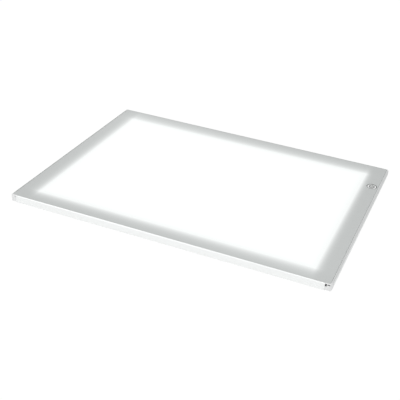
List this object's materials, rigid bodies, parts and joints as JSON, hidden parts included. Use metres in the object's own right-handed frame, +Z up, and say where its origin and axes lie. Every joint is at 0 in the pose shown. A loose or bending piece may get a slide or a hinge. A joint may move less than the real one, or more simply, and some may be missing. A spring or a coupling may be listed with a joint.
{
  "type": "light box",
  "caption": "Slim edge-lit tracing light box: aluminium frame with corner caps, acrylic work surface over a lit window, and a push power button in the right border.",
  "frame": {"origin": "centre of the footprint, on the plane under the feet", "axes": "+X to the right along the long side, +Y to the back, +Z up out of the work surface"},
  "size_m": [0.5, 0.374, 0.014],
  "materials": {
    "rail_aluminium": "fine satin anodised extrusion, silver white",
    "cap_plastic": "fine moulded grain, light silver grey",
    "black_foam": "black closed-cell foam",
    "zinc_steel": "zinc plated sheet steel",
    "screw_steel": "nickel plated screw",
    "base_aluminium": "light grey powder coat on aluminium sheet",
    "foot_rubber": "matt rubber",
    "adhesive_tape": "double-sided adhesive",
    "acrylic_top": "clear acrylic over a light grey border and a lit window",
    "border_print": "light grey printed film",
    "optical_film": "prismatic film",
    "diffuser_plastic": "opal diffuser",
    "clear_acrylic": "clear acrylic with a dot pattern",
    "reflector_film": "white reflector",
    "white_foam": "expanded foam sheet",
    "white_board": "white solder mask",
    "lamp_package": "white package with a yellow phosphor window",
    "thermal_tape": "thermal adhesive tape",
    "green_board": "green solder mask",
    "standoff_brass": "turned brass",
    "black_plastic": "moulded black plastic",
    "ferrite": "dark ferrite",
    "capacitor_can": "aluminium can",
    "ivory_plastic": "ivory nylon",
    "spring_steel": "stainless spring strip",
    "button_plastic": "satin light grey plastic",
    "legend_ink": "dark ink",
    "ring_plastic": "dark grey trim ring",
    "contact_metal": "plated contact",
    "cable_red": "red wire jacket",
    "cable_black": "black wire jacket"
  },
  "bodies": {
    "housing": {"left_rail": "rail_aluminium", "right_rail": "rail_aluminium", "front_rail": "rail_aluminium", "rear_rail": "rail_aluminium", "front_left_cap": "cap_plastic", "front_right_cap": "cap_plastic", "rear_left_cap": "cap_plastic", "rear_right_cap": "cap_plastic", "corner_seals": "black_foam", "corner_brackets": "zinc_steel", "bracket_screws": "screw_steel", "cap_screws": "screw_steel", "base_plate": "base_aluminium", "base_screws": "screw_steel", "rubber_feet": "foot_rubber", "foot_tapes": "adhesive_tape", "top_plate": "acrylic_top", "border_mask": "border_print", "plate_tapes": "black_foam", "brightness_film": "optical_film", "diffuser_sheet": "diffuser_plastic", "light_guide": "clear_acrylic", "reflector_sheet": "reflector_film", "backing_foam": "white_foam", "guide_spacers": "black_foam", "front_led_board": "white_board", "rear_led_board": "white_board", "front_leds": "lamp_package", "rear_leds": "lamp_package", "led_tapes": "thermal_tape", "driver_board": "green_board", "board_standoffs": "standoff_brass", "board_screws": "screw_steel", "driver_chips": "black_plastic", "power_coil": "ferrite", "board_capacitors": "capacitor_can", "board_connectors": "ivory_plastic", "tact_switch": "black_plastic", "switch_dome": "spring_steel", "button_ring": "ring_plastic", "dc_jack": "black_plastic", "jack_contacts": "contact_metal", "front_led_cable": "cable_red", "rear_led_cable": "cable_red", "power_cable": "cable_black"},
    "push_button": {"switch_plunger": "black_plastic", "power_button": "button_plastic", "button_legend": "legend_ink"}
  },
  "joints": [
    {"name": "button_press", "type": "slide", "parent": "housing", "child": "push_button", "axis": [0, 0, -1], "range_m": [0, 0.0004], "stiffness_N_per_m": 4000, "springref_m": -0.0002}
  ]
}
